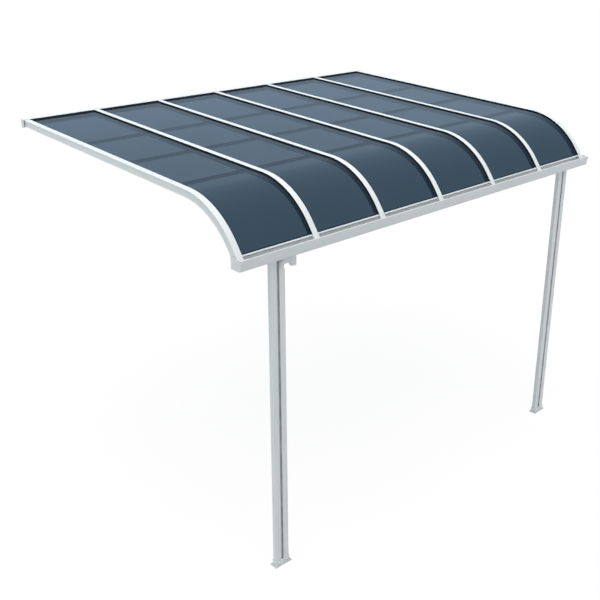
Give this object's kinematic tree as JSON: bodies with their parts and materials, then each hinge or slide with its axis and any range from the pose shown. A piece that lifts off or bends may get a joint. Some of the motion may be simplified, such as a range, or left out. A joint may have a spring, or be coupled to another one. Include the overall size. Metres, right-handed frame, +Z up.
{
  "type": "aluminium awning",
  "caption": "Lean-to awning with a gently pitched roof of tinted sheets that bends down at the front into a gutter, carried by a wall profile and slim posts",
  "frame": {"origin": "centre of the wall profile's flat back face, where it meets the wall", "axes": "+X runs along the wall to the right as seen from in front, +Y points into the wall, +Z points up"},
  "size_m": [3.7266, 2.85, 2.783],
  "materials": {
    "white_coat": "satin white powder coat on aluminium",
    "tinted_sheet": "blue-grey tinted polycarbonate sheet"
  },
  "bodies": {
    "root": {"gutter": "white_coat", "gutter_cap_left": "white_coat", "gutter_cap_right": "white_coat", "gutter_outlet": "white_coat", "outlet_elbow": "white_coat", "panel_end_trim_1": "white_coat", "panel_end_trim_2": "white_coat", "panel_end_trim_3": "white_coat", "panel_end_trim_4": "white_coat", "panel_end_trim_5": "white_coat", "panel_end_trim_6": "white_coat", "post_foot_left": "white_coat", "post_foot_right": "white_coat", "post_left": "white_coat", "post_right": "white_coat", "purlin_lower_1": "white_coat", "purlin_lower_2": "white_coat", "purlin_lower_3": "white_coat", "purlin_lower_4": "white_coat", "purlin_lower_5": "white_coat", "purlin_lower_6": "white_coat", "purlin_middle_1": "white_coat", "purlin_middle_2": "white_coat", "purlin_middle_3": "white_coat", "purlin_middle_4": "white_coat", "purlin_middle_5": "white_coat", "purlin_middle_6": "white_coat", "purlin_upper_1": "white_coat", "purlin_upper_2": "white_coat", "purlin_upper_3": "white_coat", "purlin_upper_4": "white_coat", "purlin_upper_5": "white_coat", "purlin_upper_6": "white_coat", "rafter_1": "white_coat", "rafter_2": "white_coat", "rafter_3": "white_coat", "rafter_4": "white_coat", "rafter_5": "white_coat", "rafter_6": "white_coat", "rafter_7": "white_coat", "roof_panel_1": "tinted_sheet", "roof_panel_2": "tinted_sheet", "roof_panel_3": "tinted_sheet", "roof_panel_4": "tinted_sheet", "roof_panel_5": "tinted_sheet", "roof_panel_6": "tinted_sheet", "wall_cap_left": "white_coat", "wall_cap_right": "white_coat", "wall_profile": "white_coat"}
  },
  "joints": []
}
